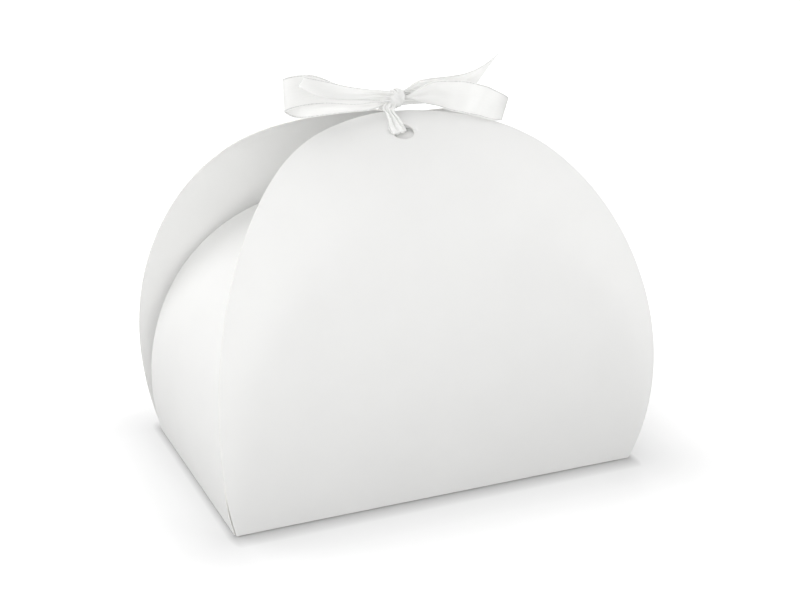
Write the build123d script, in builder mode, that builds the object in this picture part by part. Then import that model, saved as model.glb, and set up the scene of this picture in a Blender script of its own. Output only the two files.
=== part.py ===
from build123d import *
import os
from math import asin, cos, degrees, pi, radians, sin

# Card blank
card = 0.45
base_length = 150
base_depth = 92
crease_gap = 0.1
base_corner_radius = 1.5

# Front and back walls, which bend inward and meet along the top
arch_height = 127
wall_foot_lean = 15.5
wall_shoulder_lean = 38
wall_crown_lean = 70
wall_widest_at = 38.7
meeting_gap = 0.6

# End flaps, which bend inward under the walls
flap_clearance = 0.7
flap_foot_lean = 15.7
flap_tip_lean = 81
flap_tip_gap = 26
flap_widest_at = 45.7

# Punched ribbon hole near the top of each wall
hole_diameter = 8
hole_inset = 13

# Satin ribbon
ribbon_width = 12
ribbon_thickness = 0.35
knot_radius = 3.2
knot_length = 6.4
knot_edge_radius = 1.1
knot_clearance = 1.2
knot_right = 1.5
knot_forward = 2.5
root_clearance = 0.6
lead_side_clearance = 1.8
lead_thickness = 0.7
lead_clearance = 0.3
lead_bend = 0.6
strand_gap = 0.1
bow_drawn_width = 12

outline_steps = 24
beyond = 2 * base_length


def sheet_at(arcs, distance):
    """Inward offset, height and lean at a distance from the crease along a bent sheet."""
    inward = 0.0
    height = 0.0
    lean = arcs[0][1]
    for radius, start, end in arcs:
        length = radius * radians(end - start)
        travelled = min(distance, length)
        lean = start + degrees(travelled / radius)
        inward += radius * (cos(radians(start)) - cos(radians(lean)))
        height += radius * (sin(radians(lean)) - sin(radians(start)))
        distance -= travelled
        if distance <= 0:
            break
    return inward, height, lean


def sheet_length(arcs):
    return sum(radius * radians(end - start) for radius, start, end in arcs)


def half_width_at_crease(arcs, widest_at):
    """Share of the widest half-width that is left at the crease."""
    return cos(asin(widest_at / (sheet_length(arcs) - widest_at)))


def bent_sheet(arcs, half_width, widest_at):
    """A bent sheet with an elliptical outline, its crease along X, bending toward +Y."""
    reach = sheet_length(arcs) - widest_at
    first = -asin(widest_at / reach)
    points = []
    for step in range(outline_steps + 1):
        turn = first + (pi - 2 * first) * step / outline_steps
        inward, height, lean = sheet_at(arcs, widest_at + reach * sin(turn))
        points.append((half_width * cos(turn), height))
    with BuildPart() as outline:
        with BuildSketch(Plane.XZ):
            with BuildLine():
                edge = Spline(*points)
                Polyline(edge @ 1, edge @ 1 - (0, widest_at), edge @ 0 - (0, widest_at), edge @ 0)
            make_face()
        extrude(amount=beyond, both=True)
    crease = half_width * cos(first)
    with BuildPart() as sheet:
        with BuildSketch(Plane.YZ.offset(-crease)):
            Circle(card / 2)
        extrude(amount=2 * crease)
        done = 0.0
        for radius, start, end in arcs:
            length = radius * radians(end - start)
            ends = [sheet_at(arcs, done + length * share) for share in (0, 0.5, 1)]
            arc = Edge.make_three_point_arc(*[(-beyond, inward, height) for inward, height, lean in ends])
            face = Face.extrude(arc, (2 * beyond, 0, 0))
            thicken((face & outline.part).faces(), amount=card / 2, both=True)
            done += length
    return sheet.part


def band(first_edge, second_edge, thickness):
    """Thickens the ribbon surface between two edge curves, drawn in ribbon sizes about the knot."""
    edges = []
    for points in (first_edge, second_edge):
        placed = [knot_centre + Vector(point) * bow_scale for point in points]
        edges.append(Edge.make_spline(placed))
    face = Face.make_surface_from_curves(*edges)
    thicken(face, amount=thickness / 2, both=True)


# Wall bend radii that make the two walls meet over the middle at the arch height
foot = radians(wall_foot_lean)
shoulder = radians(wall_shoulder_lean)
crown = radians(wall_crown_lean)
lean_in = base_depth / 2 - meeting_gap / 2
in_low = cos(foot) - cos(shoulder)
in_high = cos(shoulder) - cos(crown)
up_low = sin(shoulder) + sin(foot)
up_high = sin(crown) - sin(shoulder)
spread = in_low * up_high - in_high * up_low
wall_low_radius = (lean_in * up_high - in_high * arch_height) / spread
wall_high_radius = (in_low * arch_height - lean_in * up_low) / spread
wall_arcs = [
    (wall_low_radius, -wall_foot_lean, wall_shoulder_lean),
    (wall_high_radius, wall_shoulder_lean, wall_crown_lean),
]
wall_length = sheet_length(wall_arcs)
wall_half_width = base_length / 2 / half_width_at_crease(wall_arcs, wall_widest_at)

# Flap bend radius that keeps the two tips apart
flap_reach = base_length / 2 - flap_tip_gap / 2
flap_radius = flap_reach / (cos(radians(flap_foot_lean)) - cos(radians(flap_tip_lean)))
flap_arcs = [(flap_radius, -flap_foot_lean, flap_tip_lean)]
flap_half_width = base_depth / 2 - flap_clearance

# Places on the wall, out along its normal, in the front wall's own plane
crease_height = card / 2


def on_front(distance_from_top, out):
    inward, height, lean = sheet_at(wall_arcs, wall_length - distance_from_top)
    y = -base_depth / 2 + inward - out * cos(radians(lean))
    z = crease_height + height + out * sin(radians(lean))
    return y, z


bow_scale = ribbon_width / bow_drawn_width
root = (knot_radius + root_clearance) / bow_scale
top_of_card = on_front(0, card / 2)[1]
knot_height = top_of_card + knot_clearance + knot_radius
knot_centre = Vector(knot_right, -knot_forward, knot_height)

# Base
base_x = base_length - card - 2 * crease_gap
base_y = base_depth - card - 2 * crease_gap
with BuildPart() as base_panel:
    with BuildSketch():
        RectangleRounded(base_x, base_y, base_corner_radius)
    extrude(amount=card)

# Wall pattern, cut from the flat and bent, with its ribbon hole square to the card
hole_y, hole_z = on_front(hole_inset, 0)
hole_out_y, hole_out_z = on_front(hole_inset, 1)
hole_normal = (0, hole_out_y - hole_y, hole_out_z - hole_z)
with BuildPart() as front_panel:
    with Locations((0, -base_depth / 2, crease_height)):
        add(bent_sheet(wall_arcs, wall_half_width, wall_widest_at))
    with BuildSketch(Plane(origin=(0, hole_y, hole_z), x_dir=(1, 0, 0), z_dir=hole_normal)):
        Circle(hole_diameter / 2)
    extrude(amount=2 * card, both=True, mode=Mode.SUBTRACT)

with BuildPart() as back_panel:
    add(front_panel.part, rotation=(0, 0, 180))

# End flaps
with BuildPart() as left_end_flap:
    with Locations(Location((-base_length / 2, 0, crease_height), (0, 0, -90))):
        add(bent_sheet(flap_arcs, flap_half_width, flap_widest_at))

with BuildPart() as right_end_flap:
    add(left_end_flap.part, rotation=(0, 0, 180))

# Ribbon leads, gathered to pass the holes, and the strand that joins them inside
lead_width = hole_diameter - 2 * lead_side_clearance
lead_out = card / 2 + lead_clearance + lead_thickness / 2
rim = hole_inset - hole_diameter / 2
crossing = rim + hole_diameter / 4
strand_y, strand_z = on_front(crossing, -2 * lead_out)
lead_tip_y = strand_y + 2 * lead_thickness


def lead_route(start):
    """Points from the knot over the wall's top, through its hole and inward."""
    return [
        start,
        on_front(rim / 2, lead_out),
        on_front(crossing, lead_out),
        (strand_y, strand_z),
        (lead_tip_y, strand_z),
    ]


off_knot = lead_clearance + lead_thickness / 2
under_knot = (-knot_forward - knot_length / 4, knot_height - knot_radius - off_knot)
behind_knot = (knot_forward - knot_length / 2 - off_knot, knot_height - knot_radius / 2)
with BuildPart() as front_lead:
    with BuildSketch(Plane.YZ):
        with BuildLine():
            FilletPolyline(*lead_route(under_knot), radius=lead_bend)
        trace(line_width=lead_thickness)
    extrude(amount=lead_width / 2, both=True)

with BuildPart() as back_lead:
    with BuildSketch(Plane.YZ):
        with BuildLine():
            FilletPolyline(*lead_route(behind_knot), radius=lead_bend)
        trace(line_width=lead_thickness)
    extrude(amount=lead_width / 2, both=True)
    back_lead.part = back_lead.part.rotate(Axis.Z, 180)

with BuildPart() as inner_strand:
    with Locations((0, 0, strand_z)):
        Box(lead_width, -2 * lead_tip_y - 2 * strand_gap, lead_thickness)

# Knot, rolled about the line the loops lift on
with BuildPart() as knot:
    with BuildSketch(Plane.XZ.offset(knot_forward)):
        with Locations((knot_right, knot_height)):
            Circle(knot_radius)
    extrude(amount=knot_length / 2, both=True)
    fillet(knot.edges().filter_by(GeomType.CIRCLE), knot_edge_radius)

# Left loop: the near strand stands on its edge, the far strand hangs lower behind it
with BuildPart() as left_loop:
    band(
        [
            (-root, -1.6, 2.2), (-9, -2, 3.3), (-16, -2.2, 4.4), (-24.5, -3, 7), (-30.6, -4.5, 10.4),
            (-35.8, -5, 11.1), (-40.4, -3.6, 10.4), (-41.4, 0.4, 9.1), (-38.5, 5.2, 7.2), (-29.5, 7.8, 5.8),
            (-19.5, 7.2, 4), (-10.5, 4.8, 3), (-root, 1.8, 1.8),
        ],
        [
            (-root, -1.2, -1.8), (-9, -1.6, -1.2), (-16, -2, -0.9), (-24.2, -2, -0.5), (-29.9, -2, -0.1),
            (-34.8, -2, -0.2), (-39.6, -1.4, -0.8), (-40.2, 2, -2.2), (-37.5, 6.4, -4.2), (-29.5, 8.4, -5.2),
            (-19.5, 7.2, -5.2), (-10.5, 4.6, -3.6), (-root, 1.8, -2),
        ],
        ribbon_thickness,
    )

# Right loop: the front strand stands on its edge and leans forward
with BuildPart() as right_loop:
    band(
        [
            (root, -1.4, 1.6), (8, -2, 3.2), (14, -2.5, 4.9), (19.5, -3.5, 5), (28.5, -5, 3), (37, -5, -0.8),
            (41, -1.5, -3), (38, 2.5, -1.5), (28, 5, 3), (16, 4.5, 5), (8, 2.5, 3.5), (root, 1.2, 1.6),
        ],
        [
            (root, -0.8, -2.4), (8.6, 0.2, -2.9), (15.8, 1, -4.9), (22.5, 0.6, -6), (30.5, -0.4, -8.3),
            (36.5, -1.5, -10.4), (40.5, 1, -12.2), (37, 4, -10.6), (27.5, 4, -8.4), (16, 3.5, -5.4),
            (8, 2, -4), (root, 1.4, -2.4),
        ],
        ribbon_thickness,
    )

# Tails, each with a slanting cut end
with BuildPart() as left_tail:
    band(
        [
            (-root, -2.4, 2.6), (-10.8, -3, 3.9), (-17.4, -3.8, 5.2), (-23.7, -5, 6.8), (-30, -6.2, 8.8),
            (-35.9, -6.4, 10),
        ],
        [
            (-root, -2.6, -0.4), (-8.5, -3.6, -0.6), (-16.3, -5.5, 0.7), (-24.6, -7.5, 2.5), (-31.4, -9.5, 4.4),
            (-40, -11.5, 8.3),
        ],
        ribbon_thickness,
    )

with BuildPart() as right_tail:
    band(
        [(root, 0, 2.6), (10, 0.6, 4), (19, 1.4, 4.7), (28, 1.8, 5.7), (40.3, 2.2, 11.4)],
        [(root, 0.2, -1), (10, 1, -2.4), (18, 1.7, -4.2), (24.5, 1.9, -3.4), (31, 2.1, 0.2)],
        ribbon_thickness,
    )

nodes = {
    "base_panel": base_panel,
    "front_panel": front_panel,
    "back_panel": back_panel,
    "left_end_flap": left_end_flap,
    "right_end_flap": right_end_flap,
    "front_lead": front_lead,
    "back_lead": back_lead,
    "inner_strand": inner_strand,
    "knot": knot,
    "left_loop": left_loop,
    "right_loop": right_loop,
    "left_tail": left_tail,
    "right_tail": right_tail,
}
os.makedirs("parts", exist_ok=True)
for name, node in nodes.items():
    node.part.label = name
    export_step(node.part, "parts/" + name + ".step")
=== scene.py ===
import math

import bpy
import numpy as np
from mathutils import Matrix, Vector
from mathutils.geometry import delaunay_2d_cdt


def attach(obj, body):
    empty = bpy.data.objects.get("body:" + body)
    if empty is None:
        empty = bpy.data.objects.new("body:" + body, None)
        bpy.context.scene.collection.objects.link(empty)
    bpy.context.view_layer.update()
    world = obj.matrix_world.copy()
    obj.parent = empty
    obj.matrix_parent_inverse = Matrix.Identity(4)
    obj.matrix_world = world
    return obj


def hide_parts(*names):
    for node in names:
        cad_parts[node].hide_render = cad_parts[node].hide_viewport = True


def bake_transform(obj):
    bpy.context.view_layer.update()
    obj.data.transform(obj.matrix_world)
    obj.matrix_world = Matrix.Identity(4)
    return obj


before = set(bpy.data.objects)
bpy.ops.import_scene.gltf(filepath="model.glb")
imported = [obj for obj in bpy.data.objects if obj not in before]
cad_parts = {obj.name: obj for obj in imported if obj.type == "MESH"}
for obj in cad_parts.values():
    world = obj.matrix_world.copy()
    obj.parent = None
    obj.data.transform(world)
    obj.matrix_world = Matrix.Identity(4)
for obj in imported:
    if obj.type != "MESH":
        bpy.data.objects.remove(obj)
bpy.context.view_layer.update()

scene = bpy.context.scene
scene.view_settings.view_transform = "Standard"
mm = 0.001


# Camera, floor and light

# angles in degrees, lengths in mm, near and far clipping in metres
photoView = dict(azimuth=-23.43, elevation=19.99, distance=559.0, aim=(3.83, 0.0, 56.39), lens=69.53,
                 sensor=36.0, near=0.01, far=50.0)


def directionTo(view):
    # azimuth 0 is straight in front of the box and grows to the right
    a = math.radians(view["azimuth"])
    e = math.radians(view["elevation"])
    return Vector((math.sin(a) * math.cos(e), -math.cos(a) * math.cos(e), math.sin(e)))


def putOnStand(name, data, location, toward):
    stand = bpy.data.objects.new(name, data)
    scene.collection.objects.link(stand)
    stand.location = location
    stand.rotation_mode = "QUATERNION"
    stand.rotation_quaternion = (-toward).to_track_quat("-Z", "Y")
    return stand


def placeCamera(view):
    back = directionTo(view)
    data = bpy.data.cameras.new("photoCamera")
    data.sensor_width = view["sensor"]
    data.lens = view["lens"]
    data.clip_start = view["near"]
    data.clip_end = view["far"]
    location = (Vector(view["aim"]) + back * view["distance"]) * mm
    scene.camera = putOnStand("photoCamera", data, location, back)


placeCamera(photoView)
print("camera placed")


def linear(hexColour):
    # sRGB to the linear values that the nodes take
    parts = [int(hexColour[i:i + 2], 16) / 255 for i in (1, 3, 5)]
    return [p / 12.92 if p <= 0.04045 else ((p + 0.055) / 1.055) ** 2.4 for p in parts] + [1.0]


def addNode(tree, kind, sockets=None, links=None, **settings):
    node = tree.nodes.new(kind)
    for name, value in settings.items():
        setattr(node, name, value)
    for socket, value in (sockets or {}).items():
        node.inputs[socket].default_value = value
    for socket, source in (links or {}).items():
        tree.links.new(source, node.inputs[socket])
    return node


def newMaterial(name):
    material = bpy.data.materials.new(name)
    material.use_nodes = True
    material.node_tree.nodes.clear()
    return material, material.node_tree


# Softboxes: where each stands round the box in degrees, its side in metres and its watts
softboxes = dict(
    top=dict(azimuth=0, elevation=89, side=1.2, power=5.8),
    backLeft=dict(azimuth=-130, elevation=25, side=0.9, power=7.2),
    backRight=dict(azimuth=150, elevation=30, side=0.9, power=4.0),
    left=dict(azimuth=-80, elevation=2, side=0.9, power=5.5),
    frontLeftLow=dict(azimuth=-45, elevation=2, side=0.9, power=11.0),
    frontLow=dict(azimuth=-10, elevation=2, side=0.9, power=6.4),
    rightLow=dict(azimuth=60, elevation=2, side=0.9, power=11.0),
)
daylight = dict(strength=0.28, backdrop=1.0, colour="#FFFFFF")
lightAim = Vector((0.0, 0.0, 0.06))  # metres
lightDistance = 1.3  # metres

for name, box in softboxes.items():
    toward = directionTo(box)
    lamp = bpy.data.lights.new(name + "Softbox", "AREA")
    lamp.size = box["side"]
    lamp.energy = box["power"]
    putOnStand(name + "Softbox", lamp, lightAim + toward * lightDistance, toward)

world = bpy.data.worlds.new("studio")
scene.world = world
world.use_nodes = True
sky = world.node_tree
sky.nodes.clear()
# soft daylight lights the box, and a white backdrop is seen by the camera, in gloss and through cloth
rays = addNode(sky, "ShaderNodeLightPath").outputs
seen = addNode(sky, "ShaderNodeMath", links={0: rays["Is Camera Ray"], 1: rays["Is Glossy Ray"]},
               operation="MAXIMUM")
seenThrough = addNode(sky, "ShaderNodeMath", links={0: seen.outputs[0], 1: rays["Is Transmission Ray"]},
                      operation="MAXIMUM")
lighting = addNode(sky, "ShaderNodeBackground",
                   {"Color": linear(daylight["colour"]), "Strength": daylight["strength"]})
backdrop = addNode(sky, "ShaderNodeBackground",
                   {"Color": linear(daylight["colour"]), "Strength": daylight["backdrop"]})
chosen = addNode(sky, "ShaderNodeMixShader",
                 links={0: seenThrough.outputs[0], 1: lighting.outputs[0], 2: backdrop.outputs[0]})
addNode(sky, "ShaderNodeOutputWorld", links={"Surface": chosen.outputs[0]})

# lengths in mm: out from the footprint, the lift sets in over the contact length and grows over the fade,
# so the glow paints shade round the box, darkest at its contact line
floorCard = dict(half=6000.0, drop=0.02, colour="#CACACA", bounce="#A6A6A6", glow="#FFFFFF", liftNear=0.27,
                 liftFar=0.78, fade=75.0, contact=(3.0, 8.0, 1.0), footprint=(75.0, 46.0, 0.0))


def layFloor(floorCard):
    # Matt white paper sweep: the camera sees it lifted to white by its glow, and it keeps the box's
    # rendered shadow;
    #     # the glow is weaker near the box, which paints shade round its footprint
    half = floorCard["half"] * mm
    z = -floorCard["drop"] * mm
    mesh = bpy.data.meshes.new("paperSweep")
    corners = [(-half, -half, z), (half, -half, z), (half, half, z), (-half, half, z)]
    mesh.from_pydata(corners, [], [(0, 1, 2, 3)])
    floor = bpy.data.objects.new("paperSweep", mesh)
    scene.collection.objects.link(floor)
    material, tree = newMaterial("mattPaperSweep")
    rays = addNode(tree, "ShaderNodeLightPath").outputs
    paper = addNode(tree, "ShaderNodeBsdfDiffuse", {"Color": linear(floorCard["colour"])})
    bounce = addNode(tree, "ShaderNodeBsdfDiffuse", {"Color": linear(floorCard["bounce"])})
    place = addNode(tree, "ShaderNodeNewGeometry")
    mirrored = addNode(tree, "ShaderNodeVectorMath", links={0: place.outputs["Position"]},
                       operation="ABSOLUTE")
    beyond = addNode(tree, "ShaderNodeVectorMath", {1: [side * mm for side in floorCard["footprint"]]},
                     {0: mirrored.outputs[0]}, operation="SUBTRACT")
    outside = addNode(tree, "ShaderNodeVectorMath", {1: (0.0, 0.0, 0.0)}, {0: beyond.outputs[0]},
                      operation="MAXIMUM")
    away = addNode(tree, "ShaderNodeVectorMath", links={0: outside.outputs[0]}, operation="LENGTH")
    share = addNode(tree, "ShaderNodeMapRange",
                    {1: 0.0, 2: floorCard["fade"] * mm, 3: floorCard["liftNear"], 4: floorCard["liftFar"]},
                    {0: away.outputs["Value"]})
    # no lift where the box meets the paper: the glow held back there paints shade over the rendered contact
    # shadow,
    #     # mostly along the long creases
    reach = addNode(tree, "ShaderNodeVectorMath", {1: [side * mm for side in floorCard["contact"]]},
                    {0: outside.outputs[0]}, operation="DIVIDE")
    reached = addNode(tree, "ShaderNodeVectorMath", links={0: reach.outputs[0]}, operation="LENGTH")
    contact = addNode(tree, "ShaderNodeMapRange", links={0: reached.outputs["Value"]})
    kept = addNode(tree, "ShaderNodeMath", links={0: share.outputs[0], 1: contact.outputs[0]},
                   operation="MULTIPLY")
    lift = addNode(tree, "ShaderNodeEmission", {"Color": linear(floorCard["glow"])},
                   {"Strength": kept.outputs[0]})
    lifted = addNode(tree, "ShaderNodeAddShader", links={0: paper.outputs[0], 1: lift.outputs[0]})
    chosen = addNode(tree, "ShaderNodeMixShader",
                     links={0: rays["Is Camera Ray"], 1: bounce.outputs[0], 2: lifted.outputs[0]})
    addNode(tree, "ShaderNodeOutputMaterial", links={"Surface": chosen.outputs[0]})
    mesh.materials.append(material)


layFloor(floorCard)
print("floor and light set")


# Materials

# pattern sizes and bump depths in mm
boardFinish = dict(face="#F5F5F4", cloud="#F2F2F1", cut="#E3E1DB", roughness=0.56, roughSpread=0.06,
                   ior=1.5, gloss=0.3, through=0.26, fibre=0.7, cloudSize=14.0, wave=46.0, grain=0.25,
                   grainDepth=0.02, swell=1.0, swellDepth=0.25, cutFibre=0.25, cutRoughness=0.85,
                   cutGloss=0.2)


def coatedBoard(finish):
    # Solid bleached board with a matt clay coat, calendered: even white, hardly any gloss,
    # a faint cloudy formation and a fine fibre grain that show only along the light
    material, tree = newMaterial("claycoatedBoardCalendered")
    place = addNode(tree, "ShaderNodeTexCoord")
    cloud = addNode(tree, "ShaderNodeTexNoise", {"Scale": 1 / (finish["cloudSize"] * mm), "Detail": 3.0},
                    {"Vector": place.outputs["Object"]})
    # real fibres are 0.03 mm wide: the grain is drawn coarser so that it shows
    fibre = addNode(tree, "ShaderNodeTexNoise", {"Scale": 1 / (finish["fibre"] * mm), "Detail": 4.0},
                    {"Vector": place.outputs["Object"]})
    wave = addNode(tree, "ShaderNodeTexNoise", {"Scale": 1 / (finish["wave"] * mm), "Detail": 1.0},
                   {"Vector": place.outputs["Object"]})
    colour = addNode(tree, "ShaderNodeMix", {6: linear(finish["cloud"]), 7: linear(finish["face"])},
                     {0: cloud.outputs["Fac"]}, data_type="RGBA")
    roughLow = finish["roughness"] - finish["roughSpread"]
    roughHigh = finish["roughness"] + finish["roughSpread"]
    rough = addNode(tree, "ShaderNodeMapRange", {3: roughLow, 4: roughHigh}, {0: fibre.outputs["Fac"]})
    grain = addNode(tree, "ShaderNodeBump",
                    {"Strength": finish["grain"], "Distance": finish["grainDepth"] * mm},
                    {"Height": fibre.outputs["Fac"]})
    swell = addNode(tree, "ShaderNodeBump",
                    {"Strength": finish["swell"], "Distance": finish["swellDepth"] * mm},
                    {"Height": wave.outputs["Fac"], "Normal": grain.outputs[0]})
    surface = addNode(tree, "ShaderNodeBsdfPrincipled",
                      {"IOR": finish["ior"], "Specular IOR Level": finish["gloss"]},
                      {"Base Color": colour.outputs[2], "Roughness": rough.outputs[0],
                       "Normal": swell.outputs[0]})
    through = addNode(tree, "ShaderNodeBsdfTranslucent", links={"Color": colour.outputs[2]})
    mixed = addNode(tree, "ShaderNodeMixShader", {0: finish["through"]},
                    {1: surface.outputs[0], 2: through.outputs[0]})
    addNode(tree, "ShaderNodeOutputMaterial", links={"Surface": mixed.outputs[0]})
    return material


def cutBoard(finish):
    # The die-cut edge: uncoated pulp, a little warmer and rougher than the face
    material, tree = newMaterial("boardCutEdge")
    place = addNode(tree, "ShaderNodeTexCoord")
    fibre = addNode(tree, "ShaderNodeTexNoise", {"Scale": 1 / (finish["cutFibre"] * mm), "Detail": 2.0},
                    {"Vector": place.outputs["Object"]})
    colour = addNode(tree, "ShaderNodeMix", {6: linear(finish["cut"]), 7: linear(finish["face"])},
                     {0: fibre.outputs["Fac"]}, data_type="RGBA")
    surface = addNode(tree, "ShaderNodeBsdfPrincipled",
                      {"Roughness": finish["cutRoughness"], "IOR": finish["ior"],
                       "Specular IOR Level": finish["cutGloss"]},
                      {"Base Color": colour.outputs[2]})
    addNode(tree, "ShaderNodeOutputMaterial", links={"Surface": surface.outputs[0]})
    return material


# widths, lengths and depths in mm: lineOuter and lineInner are shares of lineHalf; float and shade are the
# streak colours, the lighter streaks being painted sheen of the warp floats
# selvedge is the colour of the painted shade line along each tight edge
satinFinish = dict(float="#FBFBFA", shade="#F3F3F2", selvedge="#D4D4D3", width=12.0, thread=0.32,
                   floatLength=5.0, pick=0.9, pickFrom=0.35, pickTo=0.6, pickLeast=0.35, line=0.42,
                   lineHalf=0.17, lineOuter=1.6, lineInner=0.5, roughness=0.42, smoother=0.05, rougher=0.08,
                   ior=1.57, gloss=0.6, anisotropy=0.55, sheen=0.12, sheenRoughness=0.4, threadRelief=0.5,
                   threadDepth=0.03, through=0.38)


def wovenSatin(finish):
    # Polyester satin ribbon, woven: long warp floats give soft bright bands along its length, which are
    # painted
    #     # sheen in the colour and also set the roughness and thread bump; both edges have a tight
    #     selvedge, with a
    #     # darker dashed line of painted shade, and some light comes through
    material, tree = newMaterial("polyesterSatinRibbonWoven")
    weave = addNode(tree, "ShaderNodeUVMap", uv_map="weave")
    parts = addNode(tree, "ShaderNodeSeparateXYZ", links={0: weave.outputs[0]})
    # real warp threads are 0.1 mm apart: drawn three times coarser so that they show
    streakAt = addNode(tree, "ShaderNodeMapping",
                       {"Scale": (1 / finish["floatLength"], 1 / finish["thread"], 1.0)},
                       {"Vector": weave.outputs[0]})
    streak = addNode(tree, "ShaderNodeTexNoise", {"Scale": 1.0, "Detail": 2.0},
                     {"Vector": streakAt.outputs[0]})
    fromMiddle = addNode(tree, "ShaderNodeMath", {1: finish["width"] / 2}, {0: parts.outputs[1]},
                         operation="SUBTRACT")
    offMiddle = addNode(tree, "ShaderNodeMath", links={0: fromMiddle.outputs[0]}, operation="ABSOLUTE")
    fromLine = addNode(tree, "ShaderNodeMath", {1: finish["width"] / 2 - finish["line"]},
                       {0: offMiddle.outputs[0]}, operation="SUBTRACT")
    offLine = addNode(tree, "ShaderNodeMath", links={0: fromLine.outputs[0]}, operation="ABSOLUTE")
    # the selvedge line is painted shade of each tight edge, broken into dashes at the picks
    lineOuter = finish["lineHalf"] * finish["lineOuter"]
    lineInner = finish["lineHalf"] * finish["lineInner"]
    line = addNode(tree, "ShaderNodeMapRange", {1: lineOuter, 2: lineInner}, {0: offLine.outputs[0]},
                   interpolation_type="SMOOTHSTEP")
    pickAt = addNode(tree, "ShaderNodeMapping", {"Scale": (1 / finish["pick"], 0.0, 0.0)},
                     {"Vector": weave.outputs[0]})
    pick = addNode(tree, "ShaderNodeTexNoise", {"Scale": 1.0, "Detail": 1.0}, {"Vector": pickAt.outputs[0]})
    pickShare = addNode(tree, "ShaderNodeMapRange",
                        {1: finish["pickFrom"], 2: finish["pickTo"], 3: finish["pickLeast"], 4: 1.0},
                        {0: pick.outputs["Fac"]})
    selvedgeShadeShare = addNode(tree, "ShaderNodeMath", links={0: line.outputs[0], 1: pickShare.outputs[0]},
                        operation="MULTIPLY")
    # the lighter streaks in the colour are painted sheen of the warp floats
    cloth = addNode(tree, "ShaderNodeMix", {6: linear(finish["shade"]), 7: linear(finish["float"])},
                    {0: streak.outputs["Fac"]}, data_type="RGBA")
    # mixes the painted selvedge shade into the cloth along both edges
    colour = addNode(tree, "ShaderNodeMix", {7: linear(finish["selvedge"])},
                     {0: selvedgeShadeShare.outputs[0], 6: cloth.outputs[2]}, data_type="RGBA")
    roughLow = finish["roughness"] - finish["smoother"]
    roughHigh = finish["roughness"] + finish["rougher"]
    rough = addNode(tree, "ShaderNodeMapRange", {3: roughLow, 4: roughHigh}, {0: streak.outputs["Fac"]})
    threads = addNode(tree, "ShaderNodeBump",
                      {"Strength": finish["threadRelief"], "Distance": finish["threadDepth"] * mm},
                      {"Height": streak.outputs["Fac"]})
    along = addNode(tree, "ShaderNodeTangent", direction_type="UV_MAP", uv_map="weave")
    satin = addNode(tree, "ShaderNodeBsdfPrincipled",
                    {"IOR": finish["ior"], "Specular IOR Level": finish["gloss"],
                     "Anisotropic": finish["anisotropy"], "Sheen Weight": finish["sheen"],
                     "Sheen Roughness": finish["sheenRoughness"]},
                    {"Base Color": colour.outputs[2], "Roughness": rough.outputs[0],
                     "Normal": threads.outputs[0], "Tangent": along.outputs[0]})
    through = addNode(tree, "ShaderNodeBsdfTranslucent",
                      links={"Color": colour.outputs[2], "Normal": threads.outputs[0]})
    mixed = addNode(tree, "ShaderNodeMixShader", {0: finish["through"]},
                    {1: satin.outputs[0], 2: through.outputs[0]})
    addNode(tree, "ShaderNodeOutputMaterial", links={"Surface": mixed.outputs[0]})
    return material


board = coatedBoard(boardFinish)
boardEdge = cutBoard(boardFinish)
satin = wovenSatin(satinFinish)
print("materials made")


def newPiece(name, points, faces, materials, smoothAngle):
    mesh = bpy.data.meshes.new(name)
    mesh.from_pydata((np.asarray(points) * mm).tolist(), [], faces)
    for material in materials:
        mesh.materials.append(material)
    mesh.shade_smooth()
    mesh.set_sharp_from_angle(angle=math.radians(smoothAngle))
    piece = bpy.data.objects.new(name, mesh)
    scene.collection.objects.link(piece)
    return piece


# Card panels, cut flat and bent

# lengths in mm, angles in degrees; the clear values are shares of the spacing
boardCut = dict(thickness=0.45, edgeRound=0.09, foldRound=0.17, spacing=2.6, edgeClear=0.6, holeClear=0.4,
                outlineStep=1.3, creaseHeight=0.225, creaseWithin=1e-6, mergeWithin=1e-5, smoothAngle=28)
# each arc is a radius and the lean at its start and end
wallBlank = dict(arcs=[(124.18, -15.5, 38.0), (53.57, 38.0, 70.0)], halfWidth=80.43, widestAt=38.7,
                 slack=0.006, footHalf=None, holeHalf=(4.1, 3.6), holeInset=11.1, holeSteps=40, bow=0.15,
                 bowFade=24.0)
flapBlank = dict(arcs=[(76.92, -15.7, 81.0)], halfWidth=45.3, widestAt=45.7, slack=0.0, footHalf=44.9,
                 bow=0.0, bowFade=30.0)
# the tie pulls the middle of each wall in and down, and its shoulders stand out
shoulder = dict(low=70.0, high=125.0, near=4.0, far=26.0, middle=0.35)
sag = dict(left=-6.0, right=4.0, near=14.0, far=52.0)
baseBlank = dict(length=149.35, depth=91.35, corner=1.5, cornerStep=15)
creaseHalf = dict(x=75.0, y=46.0)
bowPower = 6  # the bow of the long creases is even and falls off near the corners


def bendAt(arcs, distance):
    inward = 0.0
    height = 0.0
    lean = math.radians(arcs[0][1])
    for radius, start, end in arcs:
        first = math.radians(start)
        travelled = min(distance, radius * (math.radians(end) - first))
        lean = first + travelled / radius
        inward += radius * (math.cos(first) - math.cos(lean))
        height += radius * (math.sin(lean) - math.sin(first))
        distance -= travelled
        if distance <= 0:
            break
    return inward, height, lean


def blankLength(blank):
    return sum(radius * math.radians(end - start) for radius, start, end in blank["arcs"])


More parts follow.
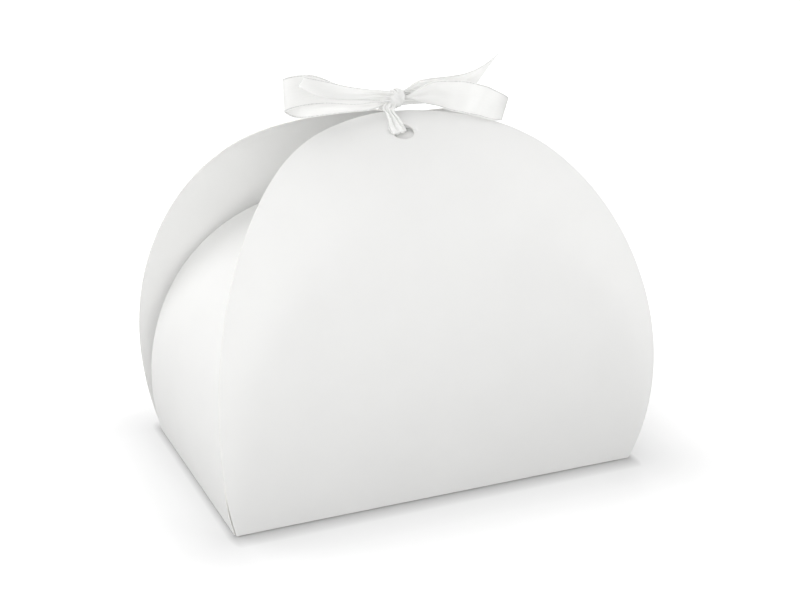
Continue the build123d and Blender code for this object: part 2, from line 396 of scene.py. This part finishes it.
def arcOutline(blank):
    # flat outline, from the right end of the crease over the top to its left end, then along the crease
    reach = blankLength(blank) - blank["widestAt"]
    first = -math.asin(blank["widestAt"] / reach)
    count = int((math.pi - 2 * first) * reach / boardCut["outlineStep"])
    turns = [first + (math.pi - 2 * first) * i / count for i in range(count + 1)]
    edge = []
    for t in turns:
        pull = 1 - blank["slack"] * math.sin(2 * t) ** 2
        u = pull * blank["halfWidth"] * math.cos(t)
        s = blank["widestAt"] + pull * reach * math.sin(t)
        if blank["footHalf"] and s < blank["widestAt"]:
            down = 1 - s / blank["widestAt"]
            u = math.copysign(blank["halfWidth"] + (blank["footHalf"] - blank["halfWidth"]) * down ** 2, u)
        edge.append((u, s))
    edge[0] = (edge[0][0], 0.0)
    edge[-1] = (edge[-1][0], 0.0)
    left = edge[-1][0]
    steps = int(-2 * left / boardCut["outlineStep"])
    return edge + [(left - 2 * left * i / steps, 0.0) for i in range(1, steps)]


def roundedRectangle(length, depth, corner, cornerStep):
    points = []
    for quarter in range(4):
        sideX = 1 if quarter in (0, 3) else -1
        sideY = 1 if quarter in (0, 1) else -1
        for turn in range(0, 90 + cornerStep, cornerStep):
            t = math.radians(90 * quarter + turn)
            points.append((sideX * (length / 2 - corner) + corner * math.cos(t),
                           sideY * (depth / 2 - corner) + corner * math.sin(t)))
    return points


def cardPiece(name, outline, place, hole=None):
    # a closed board: both faces, and a rounded rim round its outline and its hole
    loops = [np.array(outline)]
    if hole:
        loops.append(np.array(hole))
    half = boardCut["thickness"] / 2
    spacing = boardCut["spacing"]
    insets = []
    for loop in loops:
        along = np.roll(loop, -1, axis=0) - np.roll(loop, 1, axis=0)
        along /= np.linalg.norm(along, axis=1)[:, None]
        inwards = np.stack([-along[:, 1], along[:, 0]], axis=1)
        onCrease = loop[:, 1] < boardCut["creaseWithin"]
        rounds = np.where(onCrease, boardCut["foldRound"], boardCut["edgeRound"])
        insets.append((loop + inwards * rounds[:, None], rounds))
    low = loops[0].min(axis=0)
    high = loops[0].max(axis=0)
    grid = [(u, s) for s in np.arange(low[1] + spacing / 2, high[1], spacing)
            for u in np.arange(low[0] + spacing / 2, high[0], spacing)]
    grid = np.array(grid)
    edges = np.roll(loops[0], -1, axis=0) - loops[0]
    offset = grid[:, None, :] - loops[0][None, :, :]
    side = edges[None, :, 0] * offset[:, :, 1] - edges[None, :, 1] * offset[:, :, 0]
    clear = np.linalg.norm(offset, axis=2).min(axis=1) > boardCut["edgeClear"] * spacing
    grid = grid[(side > 0).all(axis=1) & clear]
    if hole:
        middle = loops[1].mean(axis=0)
        halves = loops[1].max(axis=0) - middle
        kept = halves + boardCut["holeClear"] * spacing
        grid = grid[np.linalg.norm((grid - middle) / kept, axis=1) > 1]
    flat = [tuple(p) for inset, rounds in insets for p in inset]
    starts = [0]
    for inset, rounds in insets:
        starts.append(starts[-1] + len(inset))
    flat += [tuple(p) for p in grid]
    ties = []
    for start, end in zip(starts, starts[1:]):
        ties += [(i, i + 1 if i + 1 < end else start) for i in range(start, end)]
    found = delaunay_2d_cdt([Vector(p) for p in flat], ties, [], 1, boardCut["mergeWithin"])
    source = [ids[0] for ids in found[3]]
    triangles = []
    for face in found[2]:
        corners = [source[i] for i in face]
        centre = np.mean([flat[i] for i in corners], axis=0)
        if hole and np.linalg.norm((centre - middle) / halves) < 1:
            continue
        triangles.append(corners)
    count = len(flat)
    points = [place(u, s, half) for u, s in flat] + [place(u, s, -half) for u, s in flat]
    faces = [tuple(t) for t in triangles] + [tuple(i + count for i in reversed(t)) for t in triangles]
    marks = [0] * len(faces)
    for loop, (inset, rounds), start in zip(loops, insets, starts):
        size = len(loop)
        rim = len(points)
        points += [place(u, s, half - r) for (u, s), r in zip(loop, rounds)]
        points += [place(u, s, r - half) for (u, s), r in zip(loop, rounds)]
        for i in range(size):
            j = (i + 1) % size
            rings = [(start + i, start + j), (rim + i, rim + j), (rim + size + i, rim + size + j),
                     (start + count + i, start + count + j)]
            for (a, b), (c, d) in zip(rings, rings[1:]):
                faces.append((b, a, c, d))
                marks.append(0 if max(loop[i][1], loop[j][1]) < boardCut["creaseWithin"] else 1)
    piece = newPiece(name, points, faces, [board, boardEdge], boardCut["smoothAngle"])
    piece.data.polygons.foreach_set("material_index", marks)
    return piece


def easeBetween(value, low, high):
    t = min(max((value - low) / (high - low), 0.0), 1.0)
    return t * t * (3 - 2 * t)


def bowRise(blank, u):
    return blank["bow"] * (1 - (u / creaseHalf["x"]) ** bowPower)


def bentPlace(blank, turn, crease, standOut, sags):
    # puts a point of the flat blank, and its distance out of it, on the bent and turned panel
    cosTurn = math.cos(math.radians(turn))
    sinTurn = math.sin(math.radians(turn))

    def place(u, s, out):
        inward, height, lean = bendAt(blank["arcs"], s)
        rise = bowRise(blank, u) * math.exp(-s / blank["bowFade"])
        side = easeBetween(abs(u), shoulder["near"], shoulder["far"])
        share = shoulder["middle"] + (1 - shoulder["middle"]) * side
        top = easeBetween(s, shoulder["low"], shoulder["high"])
        spread = standOut * share * top
        x = u * cosTurn
        drop = sags[0] + (sags[1] - sags[0]) * easeBetween(x, sag["left"], sag["right"])
        drop *= top * (1 - easeBetween(abs(x), sag["near"], sag["far"]))
        y = inward - out * math.cos(lean) - spread
        z = boardCut["creaseHeight"] + height + out * math.sin(lean) + max(rise, 0.0) - drop
        return (crease[0] + u * cosTurn - y * sinTurn, crease[1] + u * sinTurn + y * cosTurn, z)

    return place


def bowedPlace(u, s, out):
    return (u, s, boardCut["thickness"] / 2 + out + bowRise(wallBlank, u))


holeTurns = [-2 * math.pi * i / wallBlank["holeSteps"] for i in range(wallBlank["holeSteps"])]
holeUp = blankLength(wallBlank) - wallBlank["holeInset"]
holeLoop = [(wallBlank["holeHalf"][0] * math.cos(t), holeUp + wallBlank["holeHalf"][1] * math.sin(t))
            for t in holeTurns]
panels = dict(
    front_panel=dict(blank=wallBlank, turn=0, crease=(0.0, -creaseHalf["y"]), standOut=1.9,
                     sags=(0.75, 0.75), hole=holeLoop, body="front"),
    back_panel=dict(blank=wallBlank, turn=180, crease=(0.0, creaseHalf["y"]), standOut=2.8,
                    sags=(0.0, 2.2), hole=holeLoop, body="back"),
    left_end_flap=dict(blank=flapBlank, turn=-90, crease=(-creaseHalf["x"], 0.0), standOut=0.0,
                       sags=(0.0, 0.0), hole=None, body="left_flap"),
    right_end_flap=dict(blank=flapBlank, turn=90, crease=(creaseHalf["x"], 0.0), standOut=0.0,
                        sags=(0.0, 0.0), hole=None, body="right_flap"),
)
for node, panel in panels.items():
    place = bentPlace(panel["blank"], panel["turn"], panel["crease"], panel["standOut"], panel["sags"])
    piece = cardPiece(node + "_card", arcOutline(panel["blank"]), place, panel["hole"])
    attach(piece, panel["body"])
    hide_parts(node)
base = cardPiece("base_panel_card", roundedRectangle(**baseBlank), bowedPlace)
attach(base, "base")
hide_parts("base_panel")
print("card panels bent")


# Ribbon: every piece is a strip of one satin ribbon

# lengths in mm, the smoothing angle in degrees
ribbonCut = dict(width=12.0, thickness=0.2, selvedge=0.3, selvedgeWidth=0.5, step=0.4, across=30,
                 smoothAngle=60, leastNormal=1e-9)
knotCentre = np.array((1.5, -2.5, 131.84))


def splineThrough(stations, spots, samples):
    # natural cubic spline through the stations, whose places along it are the spots
    stations = np.asarray(stations, float)
    count = len(stations)
    gaps = np.diff(spots)
    slopes = np.diff(stations, axis=0) / gaps[:, None]
    system = np.eye(count)
    pull = np.zeros_like(stations)
    for i in range(1, count - 1):
        system[i, i - 1:i + 2] = (gaps[i - 1], 2 * (gaps[i - 1] + gaps[i]), gaps[i])
        pull[i] = 6 * (slopes[i] - slopes[i - 1])
    bend = np.linalg.solve(system, pull)
    at = np.clip(np.searchsorted(spots, samples, side="right") - 1, 0, count - 2)
    h = gaps[at][:, None]
    t = (samples - spots[at])[:, None]
    return (stations[at] + t * (slopes[at] - h * (2 * bend[at] + bend[at + 1]) / 6)
            + t ** 2 * bend[at] / 2 + t ** 3 * (bend[at + 1] - bend[at]) / (6 * h))


def sheetNormals(grid, closed):
    if closed:
        along = np.roll(grid, -1, axis=0) - np.roll(grid, 1, axis=0)
    else:
        along = np.gradient(grid, axis=0)
    normals = np.cross(along, np.gradient(grid, axis=1))
    return normals / np.maximum(np.linalg.norm(normals, axis=2), ribbonCut["leastNormal"])[:, :, None]


def stripGrid(strip):
    # the strip between its two edges, with pleats that fade as the depths at its stations say
    top = np.array(strip["top"], float)
    bottom = np.array(strip["bottom"], float)
    middle = (top + bottom) / 2
    spots = np.concatenate([[0.0], np.cumsum(np.linalg.norm(np.diff(middle, axis=0), axis=1))])
    samples = np.linspace(0, spots[-1], int(spots[-1] / ribbonCut["step"]) + 2)
    topLine = splineThrough(top, spots, samples)
    bottomLine = splineThrough(bottom, spots, samples)
    v = np.linspace(0, 1, ribbonCut["across"] + 1)
    grid = bottomLine[:, None, :] * (1 - v)[None, :, None] + topLine[:, None, :] * v[None, :, None]
    depth = np.interp(samples, spots, strip["depths"])
    cup = np.interp(samples, spots, strip.get("cups", [0.0] * len(spots)))
    ridges = np.cos(2 * math.pi * (strip["pleats"] * v[None, :] + strip["phase"]
                                   + strip.get("twist", 0.0) * samples[:, None]))
    bulge = depth[:, None] * ridges + cup[:, None] * (4 * v * (1 - v))[None, :]
    for at, width, height in strip.get("waves", []):
        bulge += height * np.exp(-((samples - at) / width) ** 2)[:, None]
    return grid + sheetNormals(grid, False) * bulge[:, :, None]


def ribbonPiece(name, grids, closed=False):
    # gives each strip its thickness, a thicker selvedge along both edges, and its own weave map in mm
    points = []
    faces = []
    spots = []
    total = 0.0
    for grid in grids:
        rows, cols = grid.shape[:2]
        normals = sheetNormals(grid, closed)
        v = np.linspace(0, ribbonCut["width"], cols)
        fromEdge = np.minimum(v, ribbonCut["width"] - v)
        inSelvedge = fromEdge < ribbonCut["selvedgeWidth"]
        halves = np.where(inSelvedge, ribbonCut["selvedge"], ribbonCut["thickness"]) / 2
        first = len(points)
        points += (grid + normals * halves[None, :, None]).reshape(-1, 3).tolist()
        points += (grid - normals * halves[None, :, None]).reshape(-1, 3).tolist()
        count = rows * cols
        lengths = np.linalg.norm(np.diff(grid[:, cols // 2], axis=0), axis=1)
        u = np.concatenate([[0.0], np.cumsum(lengths), [lengths.sum() + lengths[0]]])

        def at(i, j, under=0):
            return first + under * count + (i % rows) * cols + j

        for i in range(rows if closed else rows - 1):
            n = i + 1
            for j in range(cols - 1):
                faces += [(at(i, j), at(n, j), at(n, j + 1), at(i, j + 1)),
                          (at(i, j + 1, 1), at(n, j + 1, 1), at(n, j, 1), at(i, j, 1))]
                ring = [(u[i], v[j]), (u[n], v[j]), (u[n], v[j + 1]), (u[i], v[j + 1])]
                spots += ring + ring[::-1]
            for j, order in ((0, 1), (cols - 1, -1)):
                faces.append((at(i, j), at(i, j, 1), at(n, j, 1), at(n, j))[::order])
                spots += [(u[i], v[j]), (u[i], v[j]), (u[n], v[j]), (u[n], v[j])][::order]
        if not closed:
            for i, order in ((0, 1), (rows - 1, -1)):
                for j in range(cols - 1):
                    faces.append((at(i, j), at(i, j + 1), at(i, j + 1, 1), at(i, j, 1))[::order])
                    spots += [(u[i], v[j]), (u[i], v[j + 1]), (u[i], v[j + 1]), (u[i], v[j])][::order]
        total += u[-1] if closed else u[-2]
    piece = newPiece(name, points, faces, [satin], ribbonCut["smoothAngle"])
    weave = piece.data.uv_layers.new(name="weave")
    weave.data.foreach_set("uv", np.array(spots, float).ravel())
    print(name, "ribbon length", round(total, 1), "mm")
    return piece, total


# Edges of each strip from the knot outwards, in mm from the knot's middle. At each station, depths is how
# deep its pleats are and cups its hollow; a wave is a soft fold's place along the strip, width and height
leftLoop = dict(
    top=[(-1.2, -0.9, 1.2), (-2.6, -1.2, 1.8), (-8, -1.8, 3.3), (-13.3, -2.1, 4.3), (-18.1, -2.4, 5.3),
         (-22.7, -3.2, 6.9), (-26.7, -4.2, 8.8), (-30.4, -4.8, 10.5), (-34, -5, 11.4), (-37.3, -4.6, 11.4),
         (-40, -3.4, 10.9), (-41, -1, 9.9), (-39.8, 3.4, 8.5), (-36.8, 8.2, 6.3), (-31.9, 11.2, 4.1),
         (-25.5, 10.8, 2.4), (-18.8, 8.8, 1.6), (-12.3, 6, 1.4), (-6.4, 3.4, 1.4), (-1.6, 1.2, 1.3)],
    bottom=[(-1.2, -0.8, -1.2), (-2.5, -1, -1.7), (-7.6, -1.5, -1), (-12.1, -1.8, -1.1),
            (-18.5, -2.2, -0.7), (-23.2, -2.4, 0), (-27.3, -2.6, 0.5), (-31.6, -2.8, 0.6),
            (-35.2, -2.8, 0.4), (-37.5, -2.4, 0), (-39.4, -1.4, -0.7), (-40.3, 0.6, -1.8),
            (-39.3, 3.6, -2.9), (-36.5, 6.8, -4.8), (-32, 9.6, -6.7), (-26.4, 8.2, -6.4),
            (-20.4, 6.4, -5.7), (-13.9, 4.8, -5.2), (-7.2, 3.4, -4.5), (-1.6, 1.2, -1.6)],
    depths=[0.35, 0.35, 0.25, 0.15, 0.08, 0, 0, 0, 0, 0, 0, 0, 0, 0, 0, 0.05, 0.12, 0.2, 0.3, 0.4],
    pleats=2.5, phase=0.1,
)
rightLoop = dict(
    top=[(0.6, -1, 0.2), (2.4, -1.6, 0.3), (5.3, -1.8, 1.5), (8.9, -2.1, 3.4), (13.6, -3, 4.7),
         (18.6, -4.1, 4.9), (24.6, -5.2, 4.3), (30, -6, 2.7), (35.4, -5.4, 0.4), (40.1, -3.2, -2.3),
         (42.9, -0.4, -4.1), (43.2, 2.4, -4.3), (38.4, 4.4, -1.5), (29.6, 5, 1.1), (18.4, 4.5, 2.5),
         (9.1, 2.5, 1.5), (2, 1, 0.8)],
    bottom=[(0.6, -0.9, -0.4), (2.2, -1.4, -0.3), (5.9, -0.6, -1.7), (9.9, -0.8, -3.2), (14.4, -2, -4.4),
            (18.4, -4, -5.7), (22.4, -6.1, -6.6), (26.2, -7.9, -7.5), (29.9, -9.8, -8.4),
            (33.2, -10.6, -9.2), (35.8, -9.2, -9.6), (37.4, -5, -10.4), (35, -1.5, -8.9), (27.5, 1, -6.3),
            (18, 2.4, -4.7), (9, 2, -3.7), (2, 1.2, -3.3)],
    depths=[0.2, 0.2, 0.22, 0.16, 0.1, 0.04, 0, 0, 0, 0, 0, 0, 0, 0, 0.1, 0.3, 0.4], pleats=2.5, phase=0.4,
    waves=[(33.5, 2.4, -0.35), (29.5, 1.8, 0.6), (24.5, 3.2, -0.7), (14.0, 4.0, -0.6)],
)
leftTail = dict(
    top=[(-1.2, -1.5, 1.9), (-2.9, -1.9, 2.4), (-8.5, -2.8, 3.6), (-13.9, -3.6, 4.8), (-18.9, -4.4, 6),
         (-23.5, -5.2, 7.4), (-27.7, -6, 8.8), (-32.1, -6.5, 10), (-36, -6.8, 11)],
    bottom=[(-1.2, -1.8, -0.9), (-3.1, -2.2, -0.9), (-8.9, -4.6, 0.2), (-14.8, -7.6, 1.4),
            (-21.8, -10.6, 2.7), (-29, -13, 4.2), (-33.8, -14.6, 5.8), (-38.1, -16, 8),
            (-41.7, -16.8, 10.2)],
    depths=[0.35, 0.35, 0.3, 0.2, 0.1, 0, 0, 0, 0], cups=[0, 0, 0.5, 1.0, 1.4, 1.5, 1.4, 1.1, 0.7],
    pleats=2.6, phase=0.3,
)
rightTail = dict(
    top=[(0.8, -0.2, 1.2), (2.5, 0, 2), (6.4, 0.4, 4.2), (11, 0.8, 5.2), (18.9, 1.3, 5.3), (26.8, 1.8, 5.7),
         (32.2, 2, 7.1), (36.8, 2.2, 9.4), (40.8, 2.4, 12.3)],
    bottom=[(0.8, 0, -0.3), (2.8, 0.2, -0.4), (6.1, 0.8, -0.8), (10.9, 1.3, -1.9), (16.4, 1.6, -3),
            (21.1, 1.9, -2.9), (24.9, 2.1, -1.9), (28.7, 2.2, -0.2), (32.2, 2.3, 2.1)],
    depths=[0.4, 0.45, 0.45, 0.4, 0.3, 0.15, 0.05, 0, 0], pleats=3.0, phase=0.0,
)
# shows is the share of the flat ribbon that lies open, the rest is folded away at the knot
bowPieces = dict(
    left_loop=dict(strip=leftLoop, body="left_bow", side=-1, held="folded", shows=0.95),
    left_tail=dict(strip=leftTail, body="left_bow", side=-1, held="hung", shows=0.8),
    right_loop=dict(strip=rightLoop, body="right_bow", side=1, held="folded", shows=0.95),
    right_tail=dict(strip=rightTail, body="right_bow", side=1, held="hung", shows=0.75),
)
for node, part in bowPieces.items():
    piece, length = ribbonPiece(node + "_satin", [stripGrid(part["strip"]) + knotCentre])
    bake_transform(piece)
    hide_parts(node)
print("bow tied")

# Leads, gathered on their way from the knot through the wall holes, and the strand between them
frontLead = dict(
    top=[(-3.6, -2.2, -0.6), (-5.2, -1.6, -1.6), (-5.7, -1.6, -2.4), (-5.9, -1.2, -3.5), (-5.3, -1.6, -4.3),
         (-4.8, -2.5, -5.5), (-4.9, -3.8, -6.6), (-5.5, -5.5, -7.7), (-6, -7.7, -9), (-5.7, -9.2, -10.4),
         (-4.4, -7.9, -11.3)],
    bottom=[(-0.6, -3, -0.8), (-1.3, -3.2, -1.6), (-1.5, -2.9, -2.6), (-1.8, -2.6, -3.5), (-2, -2.9, -4.4),
            (-1.4, -3.6, -5.8), (-0.8, -5, -7), (-0.5, -6.4, -8.1), (-0.3, -7.8, -9), (0, -8.4, -9.9),
            (0.7, -6.9, -10.8)],
    depths=[0.3, 0.4, 0.4, 0.4, 0.4, 0.4, 0.35, 0.35, 0.3, 0.2, 0.1], pleats=2.4, phase=0.15, twist=0.05,
)
backLead = dict(
    top=[(-2.6, 3.4, -1.4), (-2.8, 4.8, -3.4), (-2.5, 6, -4.4), (-2.7, 7.6, -5.2), (-3.1, 10, -6.5),
         (-3.4, 12.2, -7.8), (-3.4, 13.6, -9.2), (-3.1, 13.9, -11), (-2.8, 12.6, -12.4)],
    bottom=[(0.6, 3.4, -1.2), (1.4, 4.8, -3.4), (1.2, 6, -4.4), (1.4, 7.6, -5.2), (1.8, 10, -6.5),
            (2.1, 12.2, -7.8), (2.1, 13.6, -9.2), (1.8, 13.9, -11), (1.6, 12.6, -12.4)],
    depths=[0.5, 0.5, 0.5, 0.45, 0.4, 0.35, 0.35, 0.3, 0.3], pleats=2.4, phase=0.55, twist=0.04,
)
innerStrand = dict(
    top=[(-4, -10.5, -13.3), (-4, -7.8, -11.8), (-4, -4.6, -11.1), (-3.9, -1.5, -11.3),
         (-3.6, 2.5, -12.4), (-3.4, 6.5, -12.4), (-3, 11.9, -12.4)],
    bottom=[(6.8, -10.2, -13.1), (6.8, -7.6, -11.2), (6.4, -4.4, -10.4), (5.8, -1.5, -11.2),
            (5, 2.5, -12.4), (3.6, 6.5, -12.4), (1.6, 11.9, -12.4)],
    depths=[0, 0, 0.1, 0.2, 0.25, 0.3, 0.3], pleats=2.6, phase=0.15,
)
leads = dict(
    front_lead=dict(strip=frontLead, body="front", rests="front_panel", shows=0.6),
    back_lead=dict(strip=backLead, body="back", rests="back_panel", shows=0.6),
    inner_strand=dict(strip=innerStrand, body="back", rests="back_panel", shows=0.8),
)
for node, part in leads.items():
    piece, length = ribbonPiece(node + "_satin", [stripGrid(part["strip"]) + knotCentre])
    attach(piece, part["body"])
    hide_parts(node)
print("leads drawn through the holes")

# The knot's two turns: the front one lies over the other and leans to the left at the front
knotTurns = dict(
    over=dict(left=-2.3, right=0.3, leanLeft=-1.2, leanRight=0.5, tallness=3.1, deepness=3.1, ridge=0.3,
              ridges=2.2, tuck=0.42, slant=0.2, roll=36),
    under=dict(left=-0.9, right=1.4, leanLeft=0.0, leanRight=0.5, tallness=2.85, deepness=2.8, ridge=0.12,
               ridges=1.2, tuck=0.3, slant=0.1, roll=-8),
)
# face is the share of the width that lies outside, and fold how far the rest turns back under it
knotWrap = dict(steps=72, face=0.56, fold=0.95, edgeDrop=0.35, creaseLead=0.6, creasePhase=0.1)


def wrapGrid(wrap):
    # ribbon with both edges tucked under, wound once round the bow's middle
    v = np.linspace(-1, 1, ribbonCut["across"] + 1)
    face = knotWrap["face"]
    over = np.clip(v / face, -1, 1)
    under = np.clip((np.abs(v) - face) / (1 - face), 0, 1)
    across = np.sin(over * math.pi / 2) * (1 - knotWrap["fold"] * under)
    cosRoll = math.cos(math.radians(wrap["roll"]))
    sinRoll = math.sin(math.radians(wrap["roll"]))
    grid = []
    for i in range(knotWrap["steps"]):
        t = 2 * math.pi * i / knotWrap["steps"]
        left = wrap["left"] + wrap["leanLeft"] * math.cos(t)
        right = wrap["right"] + wrap["leanRight"] * math.cos(t)
        x = (right + left) / 2 + (right - left) / 2 * across
        slant = wrap["slant"] * math.sin(t + knotWrap["creaseLead"])
        crease = np.cos(2 * math.pi * (wrap["ridges"] * over / 2 + slant + knotWrap["creasePhase"]))
        rise = wrap["ridge"] * crease * (1 - np.abs(over) ** 3)
        rise = rise - wrap["tuck"] * np.sqrt(under) - knotWrap["edgeDrop"] * over ** 4
        y = -(wrap["deepness"] + rise) * math.cos(t)
        z = (wrap["tallness"] + rise) * math.sin(t)
        grid.append(np.stack([x * cosRoll - z * sinRoll, y, x * sinRoll + z * cosRoll], axis=1))
    return np.array(grid)


turns = [wrapGrid(turn) + knotCentre for turn in knotTurns.values()]
knot, length = ribbonPiece("knot_satin", turns, closed=True)
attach(knot, "front")
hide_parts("knot")
print("knot wrapped")
